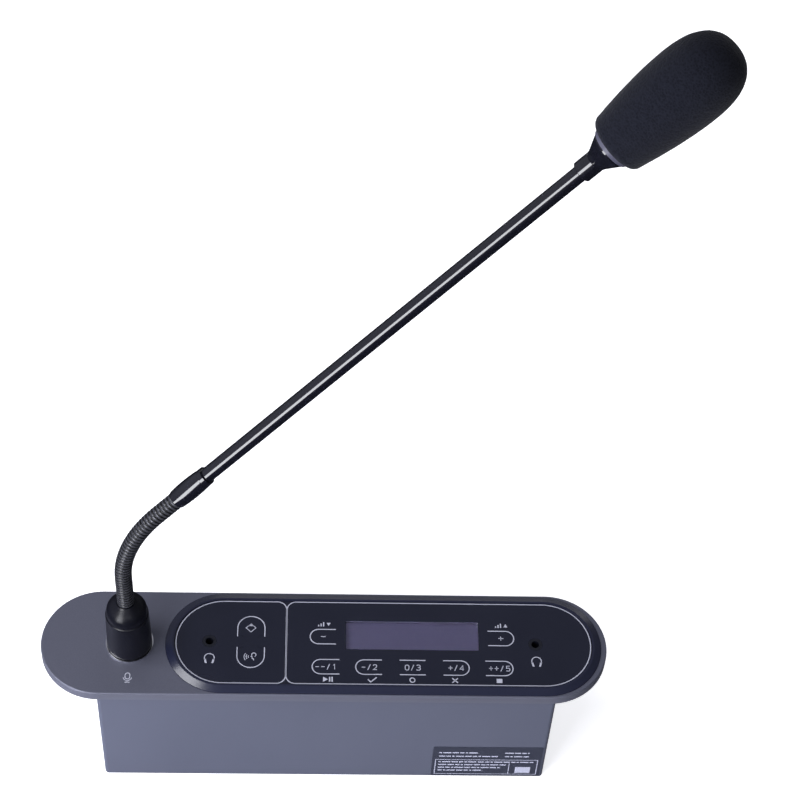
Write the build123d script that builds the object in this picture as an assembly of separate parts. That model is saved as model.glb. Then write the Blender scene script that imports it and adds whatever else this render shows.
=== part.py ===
"""Flush-mounted conference unit with a plug-in gooseneck microphone.

A metal deck plate with round ends carries a raised control pod (keys, display, two headphone
jacks) and a microphone socket. A welded sheet case hangs below it. The microphone is a connector
with a lock sleeve, a flexible neck, a straight stem and a capsule under a foam windscreen.

Frame: millimetres, origin on the case's underside below the middle of the deck plate, +X along
the panel towards the display end, +Y to the back, +Z up.
"""
from build123d import *
import os
from math import cos, radians, sin

# ---- deck plate ----
PLATE_LENGTH = 250.0
PLATE_WIDTH = 52.9
PLATE_THICK = 5.0
PLATE_EDGE = 0.6          # fillet on the plate's upper edge
LEFT_LEDGE = 25.2         # plate past the case, microphone end
RIGHT_LEDGE = 22.8        # plate past the case, display end
SIDE_LEDGE = 3.2          # plate past the case, front and back

# ---- case ----
CASE_HEIGHT = 71.5
SHEET = 1.2
CASE_BEND_R = 1.8
TAB_LENGTH = 12.0
TAB_DEPTH = 5.5
TAB_INSET = 14.0          # tab centre, in from the inner end wall
COVER_GAP = 0.15
CASE_RECESS = 0.4         # recess under the plate that the case's top edge seats in
CASE_RECESS_FIT = 0.25

# ---- control pod ----
POD_LENGTH = 192.8
POD_END_MARGIN = 2.6      # plate seen past the pod's round end
POD_SIDE_MARGIN = 0.95    # plate seen past the pod's long sides
POD_RISE = 1.5            # rim above the plate
POCKET_DEPTH = 1.5        # plate's pocket that the pod seats in
BEVEL_RUN = 3.0
BEVEL_DROP = 1.2
RIM_FILLET = 0.5
OVERLAY_INSET = 3.9       # pod's outer edge to the overlay's edge
OVERLAY_THICK = 0.5
OVERLAY_RECESS = 0.5      # rim above the overlay
POD_FIT = 0.1
TUB_FIT = 0.3             # pod's skirt in the plate's window
TUB_WALL = 1.5
TUB_DROP = 3.0            # skirt below the pod's plate
TUB_RETURN = 5.0          # skirt's short returns at each end of the window

# ---- controls, from the pod's middle ----
CONTROLS_X = 12.45        # middle of the display and the key rows
ROW_PITCH = 19.1
ROW_Y = -12.35
CHANNEL_KEY_X = 39.4      # minus and plus keys, each side of the display
CHANNEL_KEY_Y = 3.1
KEY_LENGTH = 10.6
KEY_WIDTH = 6.5
PAIR_X = -58.8
PAIR_WIDTH = 11.1
PAIR_INNER_Y = 3.2        # flat side of each tall key from the middle line
PAIR_OUTER_Y = 12.7       # round end of each tall key
KEY_GAP = 0.12
KEY_TRAVEL = 0.4
KEY_FLANGE = 0.7          # flange that keeps a key in the pod
KEY_FLANGE_THICK = 0.8
KEY_PLAY = 0.1
KEY_STEM_R = 1.5
DISPLAY_LENGTH = 58.8
DISPLAY_WIDTH = 14.6
DISPLAY_Y = 4.0
WINDOW_LEDGE = 0.9
WINDOW_LEDGE_THICK = 0.6
LCD_MARGIN = 1.2          # glass past the window
LCD_THICK = 1.8
LCD_FRAME_WALL = 1.5
JACK_LEFT_X = -77.0
JACK_RIGHT_X = 67.1
JACK_Y = 0.2
JACK_BORE_R = 1.8
JACK_BORE_DEPTH = 14.0
JACK_COLLAR_R = 3.0
JACK_BODY_R = 4.4
JACK_BODY_FLOOR = 1.5

# ---- circuit board and what is on it ----
BOARD_DROP = 8.0          # board's top below the plate's top
BOARD_THICK = 1.6
BOARD_END = 7.0           # board past each jack's middle
BOARD_HALF_WIDTH = 16.0
SWITCH_SIZE = 6.0
SWITCH_HEIGHT = 3.5
SWITCH_PLUNGER_R = 1.2
SWITCH_PLUNGER = 0.5
BOSS_R = 2.5
BOSS_Y = 12.6
MIDDLE_BOSS_X = -43.5
BOARD_SCREW_R = 1.25
BOARD_SCREW_LENGTH = 5.0
BOARD_SCREW_HEAD_R = 2.3
BOARD_SCREW_HEAD = 1.6
SCREW_FIT = 0.05

# ---- deck and cover screws (M3) ----
M3_R = 1.5
M3_HEAD_R = 2.7
M3_HEAD = 1.8
DECK_SCREW_BITE = 2.6
COVER_SCREW_LENGTH = 4.0
COVER_TAB_THICK = 2.0
CSK_DEPTH = 0.9

# ---- sockets in the back wall ----
BUS_SPACING = 60.0
BUS_HEIGHT = 26.0
BUS_BORE_R = 6.75
BUS_BORE_DEPTH = 9.0
BUS_BODY_R = 8.2
BUS_FLANGE_R = 10.0
BUS_FLANGE = 0.8
BUS_CONTACT_R = 0.5
BUS_CONTACT_RING = 3.5
BUS_CONTACTS = 7
BUS_BOARD_HEIGHT = 24.0

# ---- information label ----
LABEL_LENGTH = 50.2
LABEL_HEIGHT = 26.4
LABEL_THICK = 0.15
LABEL_LIFT = 0.5

# ---- microphone socket ----
MIC_INSET = 39.0          # from the plate's round end
MIC_Y = -0.5
SOCKET_BORE_R = 6.5
SOCKET_WALL = 1.3
SOCKET_TOP = 14.0         # above the plate
SOCKET_BOTTOM = -14.0
SOCKET_FLOOR = 1.5
SOCKET_HOLE_FIT = 0.1
SOCKET_RING = 0.8
SOCKET_RING_LIP = 0.5     # bright ring past the lock sleeve
NUT_WALL = 2.7            # nut's corners past the bush
NUT_THICK = 3.0
INSULATOR_HEIGHT = 10.5
PIN_COUNT = 4
PIN_RING = 3.2
PIN_R = 0.6
PIN_LENGTH = 8.0
PIN_HOLE_FIT = 0.1
RUN_FIT = 0.08            # running fit of turning and sliding pieces

# ---- connector of the microphone ----
PLUG_SHOULDER = 24.5      # top of the lock sleeve above the plate
PLUG_WALL = 1.2
PLUG_RIDGE = 2.4
PLUG_RIDGE_OUT = 1.1      # ridge past the socket's bore
PLUG_RIDGE_TOP = 21.8
SLEEVE_BOTTOM = 1.1
SLEEVE_CLEARANCE = 0.3    # round the bush
SLEEVE_FOOT_WALL = 1.8
SLEEVE_TOP_WALL = 1.25
SLEEVE_EDGE = 0.4
INSULATOR_THICK = 6.0
COLLAR_STEP = 0.45        # collar's foot inside the lock sleeve's top
COLLAR_HEIGHT = 9.0
COLLAR_TOP_WALL = 0.95

# ---- neck ----
NECK_R = 3.5
NECK_FIT = 0.25           # neck in the collar
NECK_RISE = 19.2          # straight stretch above the collar
NECK_BEND_R = 57.5
NECK_BEND = 44.05         # degrees from upright
NECK_HEADING = 13.0       # degrees from +X towards +Y
NECK_END = 11.9           # straight stretch below the lower sleeve
NECK_JOINTS = 12
NECK_GAP = 1.6            # between two links, room to tilt
BALL_R = 2.5
BALL_FIT = 0.1
BALL_STEM_R = 1.3

# ---- stem and head, lengths along the stem ----
LOWER_SLEEVE = 18.3
LOWER_SLEEVE_WALL = 1.25
LOWER_SLEEVE_CROWN = 0.35
LOWER_LIP = 2.4
LOWER_LIP_WALL = 0.85
STEM_LENGTH = 203.1
STEM_R = 3.15
STEM_WALL = 0.6
STEM_SOCKET = 6.0         # stem inside the sleeve and the ferrule
STEM_FIT = 0.05
FERRULE = 6.7
FERRULE_WALL = 1.1
CONE = 7.6
CONE_TOP_R = 7.6
INDICATOR = 2.2
INDICATOR_WIDTH = 2.4
CAGE_R = 5.9
CAGE_WALL = 0.8
CAGE_LENGTH = 30.0
CAGE_SLOTS = 8
CAGE_SLOT = 1.6
CAPSULE_R = 4.85
CAPSULE_LENGTH = 8.0
FOAM_LENGTH = 58.5
FOAM_LOW_R = 11.7
FOAM_MAX_R = 15.3
FOAM_MAX_AT = 36.0
FOAM_FIT = 0.2
BORE_CHAMFER = 0.6

# ---- worked-out levels and places ----
Z_SEAT = CASE_HEIGHT
Z_TOP = Z_SEAT + PLATE_THICK
Z_CASE_TOP = Z_SEAT + CASE_RECESS
POD_WIDTH = PLATE_WIDTH - 2 * POD_SIDE_MARGIN
POD_X = PLATE_LENGTH / 2 - POD_END_MARGIN - POD_LENGTH / 2
Z_OVERLAY = Z_TOP + POD_RISE - OVERLAY_RECESS
Z_SHELF = Z_OVERLAY - OVERLAY_THICK
Z_POD_FLOOR = Z_TOP - POCKET_DEPTH
Z_BOARD = Z_TOP - BOARD_DROP
CASE_LENGTH = PLATE_LENGTH - LEFT_LEDGE - RIGHT_LEDGE
CASE_DEPTH = PLATE_WIDTH - 2 * SIDE_LEDGE
CASE_X = (LEFT_LEDGE - RIGHT_LEDGE) / 2
CASE_RIGHT = CASE_X + CASE_LENGTH / 2
INNER_LENGTH = CASE_LENGTH - 2 * SHEET
INNER_DEPTH = CASE_DEPTH - 2 * SHEET
TAB_XS = [CASE_X + side * (INNER_LENGTH / 2 - TAB_INSET) for side in (-1, 1)]
TAB_YS = [side * (INNER_DEPTH / 2 - TAB_DEPTH / 2) for side in (-1, 1)]
MIC_X = -PLATE_LENGTH / 2 + MIC_INSET
SOCKET_R = SOCKET_BORE_R + SOCKET_WALL
SLEEVE_BORE_R = SOCKET_R + SLEEVE_CLEARANCE
SLEEVE_LOW_R = SLEEVE_BORE_R + SLEEVE_FOOT_WALL
SLEEVE_TOP_R = SLEEVE_BORE_R + SLEEVE_TOP_WALL
SOCKET_RING_R = SLEEVE_LOW_R + SOCKET_RING_LIP
PLUG_RIDGE_R = SOCKET_BORE_R + PLUG_RIDGE_OUT
COLLAR_LOW_R = SLEEVE_TOP_R - COLLAR_STEP
COLLAR_BORE_R = NECK_R + NECK_FIT
COLLAR_TOP_R = COLLAR_BORE_R + COLLAR_TOP_WALL
LOWER_SLEEVE_R = STEM_R + LOWER_SLEEVE_WALL
LOWER_LIP_R = STEM_R + LOWER_LIP_WALL
FERRULE_R = STEM_R + FERRULE_WALL
INDICATOR_R = CAGE_R + INDICATOR_WIDTH
FOAM_MOUTH_R = INDICATOR_R + FOAM_FIT
JACK_XS = {"left": POD_X + JACK_LEFT_X, "right": POD_X + JACK_RIGHT_X}
BOARD_LEFT = JACK_XS["left"] - BOARD_END
BOARD_RIGHT = JACK_XS["right"] + BOARD_END
BOARD_X = (BOARD_LEFT + BOARD_RIGHT) / 2
BOARD_LENGTH = BOARD_RIGHT - BOARD_LEFT
BOSS_XS = [JACK_XS["left"], POD_X + MIDDLE_BOSS_X, JACK_XS["right"]]
BOSS_PLACES = [(x, side * BOSS_Y) for x in BOSS_XS for side in (-1, 1)]
CONTROLS = POD_X + CONTROLS_X
KEY_TOP = Z_OVERLAY
FLANGE_TOP = Z_POD_FLOOR - KEY_PLAY
PLUNGER_TOP = Z_BOARD + SWITCH_HEIGHT + SWITCH_PLUNGER

PARTS = {}


def stadium(length, width):
    """A flat outline with straight long sides and half-round ends, centred on the origin."""
    return SlotOverall(length, width)


def slab(outline, x, y, low, high):
    """A flat outline raised from one level to another."""
    return Pos(x, y, low) * extrude(outline, amount=high - low)


def rod(radius, low, high, x=0.0, y=0.0):
    """An upright round bar between two levels."""
    return slab(Circle(radius), x, y, low, high)


def tube(outer, inner, low, high, x=0.0, y=0.0):
    """An upright round tube, cut right through."""
    return rod(outer, low, high, x, y) - rod(inner, low - 1, high + 1, x, y)


def turned(points):
    """A solid of revolution about Z from a closed half-outline of (radius, height) points."""
    outline = Plane.XZ * make_face(Polyline(*points, close=True))
    return revolve(outline, Axis.Z)


def group(solids):
    """Several separate solids kept as one node."""
    return Compound(children=[piece for solid in solids for piece in solid.solids()])


# ---- deck plate and case ----
def make_deck_plate():
    plate = slab(stadium(PLATE_LENGTH, PLATE_WIDTH), 0, 0, Z_SEAT, Z_TOP)
    plate = fillet(plate.edges().group_by(Axis.Z)[-1], PLATE_EDGE)
    seat = stadium(POD_LENGTH + 2 * POD_FIT, POD_WIDTH + 2 * POD_FIT)
    plate -= slab(seat, POD_X, 0, Z_POD_FLOOR, Z_TOP + 1)
    plate -= slab(window_outline(0.0), BOARD_X, 0, Z_SEAT - 1, Z_TOP)
    plate -= rod(SOCKET_R + SOCKET_HOLE_FIT, Z_SEAT - 1, Z_TOP + 1, MIC_X, MIC_Y)
    plate -= slab(case_outline(CASE_RECESS_FIT), CASE_X, 0, Z_SEAT - 1, Z_CASE_TOP)
    for x in TAB_XS:
        for y in TAB_YS:
            plate -= rod(M3_R + SCREW_FIT, Z_SEAT, Z_CASE_TOP + DECK_SCREW_BITE + 0.2, x, y)
    return plate


def window_outline(inset):
    """The plate's window, which the pod's skirt and the board pass through."""
    length = BOARD_LENGTH + 2 * TUB_FIT - 2 * inset
    return RectangleRounded(length, 2 * (BOARD_HALF_WIDTH + TUB_FIT - inset), 2.0)


def case_outline(margin):
    length = CASE_LENGTH + 2 * margin
    return RectangleRounded(length, CASE_DEPTH + 2 * margin, CASE_BEND_R + margin)


def make_case_sheets():
    """The case's front and back sheets with rolled corners, and the two flat ends between them."""
    outline = case_outline(0) - case_outline(-SHEET)
    ring = slab(outline, CASE_X, 0, 0, Z_CASE_TOP)
    flat_half = CASE_DEPTH / 2 - CASE_BEND_R
    sheets = {}
    for name, side in (("case_front", -1), ("case_back", 1)):
        strip = Rectangle(CASE_LENGTH + 2, CASE_BEND_R)
        sheets[name] = ring & slab(strip, CASE_X, side * (flat_half + CASE_BEND_R / 2), 0, Z_CASE_TOP)
    end_xs = [CASE_X + side * (CASE_LENGTH - SHEET) / 2 for side in (-1, 1)]
    end = Rectangle(SHEET, 2 * flat_half)
    sheets["case_ends"] = group([slab(end, x, 0, 0, Z_CASE_TOP) for x in end_xs])
    for x in bus_places():
        hole = Plane.XZ * Pos(x, BUS_HEIGHT) * Circle(BUS_BODY_R + SCREW_FIT)
        sheets["case_back"] -= extrude(hole, amount=CASE_DEPTH, dir=(0, 1, 0))
    return sheets


def make_case_tabs():
    """Tabs welded inside the front and back sheets: four for the deck screws, four for the cover's."""
    levels = [
        (Z_CASE_TOP - SHEET, Z_CASE_TOP, M3_R + 0.2),
        (SHEET, SHEET + COVER_TAB_THICK, M3_R + SCREW_FIT),
    ]
    tabs = []
    for low, high, hole_r in levels:
        for x in TAB_XS:
            for y in TAB_YS:
                tab = slab(Rectangle(TAB_LENGTH, TAB_DEPTH), x, y, low, high)
                tabs.append(tab - rod(hole_r, low - 1, high + 1, x, y))
    return group(tabs)


def make_bottom_cover():
    outline = RectangleRounded(INNER_LENGTH - 2 * COVER_GAP, INNER_DEPTH - 2 * COVER_GAP, 0.5)
    cover = slab(outline, CASE_X, 0, 0, SHEET)
    for x in TAB_XS:
        for y in TAB_YS:
            cover -= rod(M3_R + 0.2, -1, SHEET + 1, x, y)
            cover -= Pos(x, y, CSK_DEPTH / 2) * Cone(M3_HEAD_R + SCREW_FIT, M3_R + 0.2, CSK_DEPTH)
    return cover


def make_cover_screws():
    screws = []
    for x in TAB_XS:
        for y in TAB_YS:
            head = Pos(x, y, CSK_DEPTH / 2) * Cone(M3_HEAD_R, M3_R, CSK_DEPTH)
            screw = head + rod(M3_R, CSK_DEPTH / 2, COVER_SCREW_LENGTH, x, y)
            screws.append(screw - slab(RegularPolygon(1.0, 6), x, y, -1, 0.6))
    return group(screws)


def make_deck_screws():
    screws = []
    head_top = Z_CASE_TOP - SHEET
    for x in TAB_XS:
        for y in TAB_YS:
            screw = rod(M3_R, head_top - 1, Z_CASE_TOP + DECK_SCREW_BITE, x, y)
            screw += rod(M3_HEAD_R, head_top - M3_HEAD, head_top, x, y)
            screws.append(screw - slab(RegularPolygon(1.2, 6), x, y, head_top - M3_HEAD - 1, head_top - 0.8))
    return group(screws)


def make_info_label():
    label = RectangleRounded(LABEL_LENGTH, LABEL_HEIGHT, 0.8)
    x = CASE_RIGHT - CASE_BEND_R - LABEL_LENGTH / 2
    centre = (x, -CASE_DEPTH / 2, LABEL_LIFT + LABEL_HEIGHT / 2)
    face = Plane(origin=centre, x_dir=(1, 0, 0), z_dir=(0, -1, 0))
    return extrude(face * label, amount=LABEL_THICK)


# ---- sockets in the back wall ----
def bus_places():
    return [CASE_X - BUS_SPACING / 2, CASE_X + BUS_SPACING / 2]


def make_bus_sockets():
    """Round sockets that open through the back wall, each with a flange outside it."""
    sockets = []
    back = CASE_DEPTH / 2
    for x in bus_places():
        face = Plane(origin=(x, back + BUS_FLANGE, BUS_HEIGHT), x_dir=(-1, 0, 0), z_dir=(0, 1, 0))
        depth = BUS_FLANGE + BUS_BORE_DEPTH + 2.0
        socket = extrude(face * Circle(BUS_FLANGE_R), amount=-BUS_FLANGE)
        socket += extrude(face * Circle(BUS_BODY_R), amount=-depth)
        socket -= extrude(face * Circle(BUS_BORE_R), amount=-BUS_BORE_DEPTH)
        for spot in PolarLocations(BUS_CONTACT_RING, BUS_CONTACTS):
            socket -= extrude(face * spot * Circle(BUS_CONTACT_R), amount=-(BUS_BORE_DEPTH + 1.5))
        sockets.append(socket)
    return group(sockets)


def make_bus_board():
    back = CASE_DEPTH / 2 - BUS_BORE_DEPTH - 2.0
    length = BUS_SPACING + 3 * BUS_BODY_R
    face = Plane(origin=(CASE_X, back, BUS_HEIGHT), x_dir=(-1, 0, 0), z_dir=(0, 1, 0))
    return extrude(face * Rectangle(length, BUS_BOARD_HEIGHT), amount=-BOARD_THICK)


# ---- control pod ----
def key_places():
    """Each key's name, its outline, its flange's outline and its middle."""
    pill = (stadium(KEY_LENGTH, KEY_WIDTH), stadium(KEY_LENGTH + 2 * KEY_FLANGE, KEY_WIDTH))
    keys = {
        "key_minus": (*pill, CONTROLS - CHANNEL_KEY_X, CHANNEL_KEY_Y),
        "key_plus": (*pill, CONTROLS + CHANNEL_KEY_X, CHANNEL_KEY_Y),
    }
    for number in range(5):
        keys[f"key_{number + 1}"] = (*pill, CONTROLS + (number - 2) * ROW_PITCH, ROW_Y)
    radius = PAIR_WIDTH / 2
    body_height = PAIR_OUTER_Y - PAIR_INNER_Y - radius
    body = Pos(0, -body_height / 2) * Rectangle(PAIR_WIDTH, body_height)
    arch = body + Circle(radius)
    turned_arch = Rot(0, 0, 180) * arch
    wide, turned_wide = grown(arch, KEY_FLANGE), grown(turned_arch, KEY_FLANGE)
    keys["key_mode"] = (arch, wide, POD_X + PAIR_X, PAIR_OUTER_Y - radius)
    keys["key_talk"] = (turned_arch, turned_wide, POD_X + PAIR_X, radius - PAIR_OUTER_Y)
    return keys


def grown(outline, margin):
    """An outline offset outwards."""
    return offset(outline, amount=margin, kind=Kind.ARC)


def display_outline(margin):
    length = DISPLAY_LENGTH + 2 * margin
    return RectangleRounded(length, DISPLAY_WIDTH + 2 * margin, 0.6)


def panel_cuts(low, high):
    """The keys', the display's and the jacks' openings through the pod's layers."""
    cuts = [slab(grown(outline, KEY_GAP), x, y, low, high) for outline, _, x, y in key_places().values()]
    cuts.append(slab(display_outline(POD_FIT), CONTROLS, DISPLAY_Y, low, high))
    cuts += [rod(JACK_COLLAR_R + POD_FIT, low, high, x, JACK_Y) for x in JACK_XS.values()]
    return cuts


def make_panel_bezel():
    """The pod: a bevelled rim, a shelf for the overlay, a skirt through the plate and six bosses."""
    outline = stadium(POD_LENGTH, POD_WIDTH)
    base_top = Z_TOP + POD_RISE - BEVEL_DROP
    bezel = slab(outline, POD_X, 0, Z_POD_FLOOR, base_top)
    top = stadium(POD_LENGTH - 2 * BEVEL_RUN, POD_WIDTH - 2 * BEVEL_RUN)
    bezel += loft([Pos(POD_X, 0, base_top) * outline, Pos(POD_X, 0, Z_TOP + POD_RISE) * top])
    bezel = fillet(bezel.edges().group_by(Axis.Z)[-1], RIM_FILLET)
    recess = stadium(POD_LENGTH - 2 * OVERLAY_INSET, POD_WIDTH - 2 * OVERLAY_INSET)
    bezel -= slab(recess, POD_X, 0, Z_SHELF, Z_TOP + POD_RISE + 1)
    skirt = window_outline(TUB_FIT) - window_outline(TUB_FIT + TUB_WALL)
    skirt -= Rectangle(BOARD_LENGTH - 2 * TUB_RETURN, PLATE_WIDTH)
    bezel += slab(skirt, BOARD_X, 0, Z_POD_FLOOR - TUB_DROP, Z_POD_FLOOR + 0.5)
    for x, y in BOSS_PLACES:
        bezel += rod(BOSS_R, Z_BOARD, Z_POD_FLOOR + 0.5, x, y)
        bezel -= rod(BOARD_SCREW_R + SCREW_FIT, Z_BOARD - 1, Z_BOARD + BOARD_SCREW_LENGTH, x, y)
    for cut in panel_cuts(Z_POD_FLOOR - 1, Z_TOP + POD_RISE + 1):
        bezel -= cut
    return bezel


def make_panel_overlay():
    length = POD_LENGTH - 2 * (OVERLAY_INSET + POD_FIT)
    width = POD_WIDTH - 2 * (OVERLAY_INSET + POD_FIT)
    overlay = slab(stadium(length, width), POD_X, 0, Z_SHELF, Z_OVERLAY)
    for cut in panel_cuts(Z_SHELF - 1, Z_OVERLAY + 1):
        overlay -= cut
    return overlay


def make_key(outline, flange, x, y):
    """A key cap flush with the overlay, its flange below the pod's plate and its stem."""
    flange_low = FLANGE_TOP - KEY_FLANGE_THICK
    cap = slab(outline, x, y, flange_low, KEY_TOP)
    cap += slab(flange, x, y, flange_low, FLANGE_TOP)
    stem_low = PLUNGER_TOP + KEY_TRAVEL + SCREW_FIT
    return cap + rod(KEY_STEM_R, stem_low, flange_low + 0.1, x, y)


def make_display_window():
    window = slab(display_outline(0), CONTROLS, DISPLAY_Y, Z_POD_FLOOR - WINDOW_LEDGE_THICK, Z_OVERLAY)
    ledge = slab(
        display_outline(WINDOW_LEDGE), CONTROLS, DISPLAY_Y, Z_POD_FLOOR - WINDOW_LEDGE_THICK, Z_POD_FLOOR
    )
    return window + ledge


def lcd_size(margin):
    return Rectangle(DISPLAY_LENGTH + 2 * margin, DISPLAY_WIDTH + 2 * margin)


def make_lcd_glass():
    top = Z_POD_FLOOR - WINDOW_LEDGE_THICK - 0.1
    return slab(lcd_size(LCD_MARGIN), CONTROLS, DISPLAY_Y, top - LCD_THICK, top)


def make_lcd_frame():
    """A tray on the board that holds the glass and lights it from below."""
    top = Z_POD_FLOOR - WINDOW_LEDGE_THICK - 0.1
    frame = slab(lcd_size(LCD_MARGIN + LCD_FRAME_WALL), CONTROLS, DISPLAY_Y, Z_BOARD, top)
    return frame - slab(lcd_size(LCD_MARGIN + POD_FIT), CONTROLS, DISPLAY_Y, top - LCD_THICK, top + 1)


def make_headphone_jack(x):
    """A 3.5 mm jack: a collar flush with the overlay above a round body, bored from the top."""
    body_low = Z_OVERLAY - JACK_BORE_DEPTH - JACK_BODY_FLOOR
    jack = rod(JACK_BODY_R, body_low, Z_POD_FLOOR, x, JACK_Y)
    jack += rod(JACK_COLLAR_R, Z_POD_FLOOR - 1, Z_OVERLAY, x, JACK_Y)
    return jack - rod(JACK_BORE_R, Z_OVERLAY - JACK_BORE_DEPTH, Z_OVERLAY + 1, x, JACK_Y)


# ---- circuit board ----
def make_main_board():
    outline = Rectangle(BOARD_LENGTH, 2 * BOARD_HALF_WIDTH)
    board = slab(outline, BOARD_X, 0, Z_BOARD - BOARD_THICK, Z_BOARD)
    for x in JACK_XS.values():
        board -= rod(JACK_BODY_R + POD_FIT, Z_BOARD - BOARD_THICK - 1, Z_BOARD + 1, x, JACK_Y)
    for x, y in BOSS_PLACES:
        board -= rod(BOARD_SCREW_R + 0.15, Z_BOARD - BOARD_THICK - 1, Z_BOARD + 1, x, y)
    return board


def make_tact_switches():
    switches = []
    for _, _, x, y in key_places().values():
        switch = slab(Rectangle(SWITCH_SIZE, SWITCH_SIZE), x, y, Z_BOARD, Z_BOARD + SWITCH_HEIGHT)
        switches.append(switch + rod(SWITCH_PLUNGER_R, Z_BOARD + SWITCH_HEIGHT - 1, PLUNGER_TOP, x, y))
    return group(switches)


def make_board_screws():
    screws = []
    under = Z_BOARD - BOARD_THICK
    for x, y in BOSS_PLACES:
        screw = rod(BOARD_SCREW_R, under - 0.5, under + BOARD_SCREW_LENGTH, x, y)
        screws.append(screw + rod(BOARD_SCREW_HEAD_R, under - BOARD_SCREW_HEAD, under, x, y))
    return group(screws)


# ---- microphone socket ----
def at_mic(shape):
    """Moves a shape drawn on the connector's axis, with height 0 at the plate's top, into place."""
    return Pos(MIC_X, MIC_Y, Z_TOP) * shape


def pin_places():
    return [loc.position for loc in PolarLocations(PIN_RING, PIN_COUNT, start_angle=45)]


def make_socket_shell():
    """A threaded bush through the plate with a bright ring round the lock sleeve's foot."""
    shell = rod(SOCKET_R, SOCKET_BOTTOM, SOCKET_TOP)
    shell += rod(SOCKET_RING_R, 0, SOCKET_RING)
    shell -= rod(SOCKET_BORE_R, SOCKET_BOTTOM + SOCKET_FLOOR, SOCKET_TOP + 1)
    return at_mic(shell)


def make_socket_insulator():
    low = SOCKET_BOTTOM + SOCKET_FLOOR
    block = rod(SOCKET_BORE_R, low, low + INSULATOR_HEIGHT)
    for pin in pin_places():
        block -= rod(PIN_R + PIN_HOLE_FIT, low + 1, low + INSULATOR_HEIGHT + 1, pin.X, pin.Y)
    return at_mic(block)


def make_socket_nut():
    top = CASE_RECESS - PLATE_THICK
    nut = slab(RegularPolygon(SOCKET_R + NUT_WALL, 6), 0, 0, top - NUT_THICK, top)
    return at_mic(nut - rod(SOCKET_R + SCREW_FIT, top - NUT_THICK - 1, 0))


# ---- connector ----
def plug_radius():
    return SOCKET_BORE_R - RUN_FIT


def make_plug_body():
    """The plug's shell: it slides in the socket and its ridge holds the lock sleeve."""
    body = rod(plug_radius(), 0, PLUG_SHOULDER)
    body += rod(PLUG_RIDGE_R, PLUG_RIDGE_TOP - PLUG_RIDGE, PLUG_RIDGE_TOP)
    body -= rod(plug_radius() - PLUG_WALL, -1, PLUG_SHOULDER + 1)
    return at_mic(body)


def make_plug_insulator():
    disc = rod(plug_radius() - PLUG_WALL, 0.3, 0.3 + INSULATOR_THICK)
    for pin in pin_places():
        disc -= rod(PIN_R, -1, INSULATOR_THICK + 2, pin.X, pin.Y)
    return at_mic(disc)


def make_plug_pins():
    top = INSULATOR_THICK + 1.5
    return at_mic(group([rod(PIN_R, -PIN_LENGTH, top, pin.X, pin.Y) for pin in pin_places()]))


def make_lock_sleeve():
    """The tapered lock sleeve, which turns round the plug's ridge."""
    lip_low = PLUG_RIDGE_TOP + 0.2
    top = PLUG_SHOULDER - 0.1
    lip_r = plug_radius() + RUN_FIT
    return at_mic(turned([
        (SLEEVE_BORE_R, SLEEVE_BOTTOM),
        (SLEEVE_LOW_R - SLEEVE_EDGE, SLEEVE_BOTTOM),
        (SLEEVE_LOW_R, SLEEVE_BOTTOM + SLEEVE_EDGE),
        (SLEEVE_TOP_R, top - SLEEVE_EDGE),
        (SLEEVE_TOP_R - SLEEVE_EDGE, top),
        (lip_r, top),
        (lip_r, lip_low),
        (SLEEVE_BORE_R, lip_low),
    ]))


def make_neck_collar():
    """The domed collar over the plug that grips the neck's foot."""
    low = PLUG_SHOULDER
    high = low + COLLAR_HEIGHT
    lip = 1.2
    side = Spline(
        (COLLAR_LOW_R, low + lip),
        (COLLAR_LOW_R - 1.3, low + 0.62 * COLLAR_HEIGHT),
        (COLLAR_TOP_R, high - 0.6),
        tangents=[(0, 1), (-1, 0.9)],
    )
    rest = Polyline(
        (COLLAR_TOP_R, high - 0.6),
        (COLLAR_TOP_R - 0.5, high),
        (COLLAR_BORE_R, high),
        (COLLAR_BORE_R, low + 2.0),
        (plug_radius() - PLUG_WALL, low),
        (COLLAR_LOW_R, low),
        (COLLAR_LOW_R, low + lip),
    )
    return at_mic(revolve(Plane.XZ * make_face([side, rest]), Axis.Z))


# ---- neck ----
def neck_point(along):
    """Where the neck's middle line is, and which way it points, at a length from the collar's top."""
    bend = radians(NECK_BEND)
    heading = radians(NECK_HEADING)
    arc = NECK_BEND_R * bend
    turn = min(max(along - NECK_RISE, 0.0) / NECK_BEND_R, bend)
    out = NECK_BEND_R * (1 - cos(turn))
    up = min(along, NECK_RISE) + NECK_BEND_R * sin(turn)
    past = max(along - NECK_RISE - arc, 0.0)
    out += past * sin(turn)
    up += past * cos(turn)
    place = Vector(MIC_X + out * cos(heading), MIC_Y + out * sin(heading), neck_foot() + up)
    way = Vector(sin(turn) * cos(heading), sin(turn) * sin(heading), cos(turn))
    return place, way


def neck_foot():
    return Z_TOP + PLUG_SHOULDER + COLLAR_HEIGHT


def neck_length():
    return NECK_RISE + NECK_BEND_R * radians(NECK_BEND) + NECK_END


def joint_lengths():
    pitch = neck_length() / NECK_JOINTS
    return [(number + 0.5) * pitch for number in range(NECK_JOINTS)]


def neck_plane(along):
    """A plane across the neck: local X is level and square to the bend, local Z runs up the neck."""
    place, way = neck_point(along)
    heading = radians(NECK_HEADING)
    return Plane(origin=place, x_dir=(-sin(heading), cos(heading), 0), z_dir=way)


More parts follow.
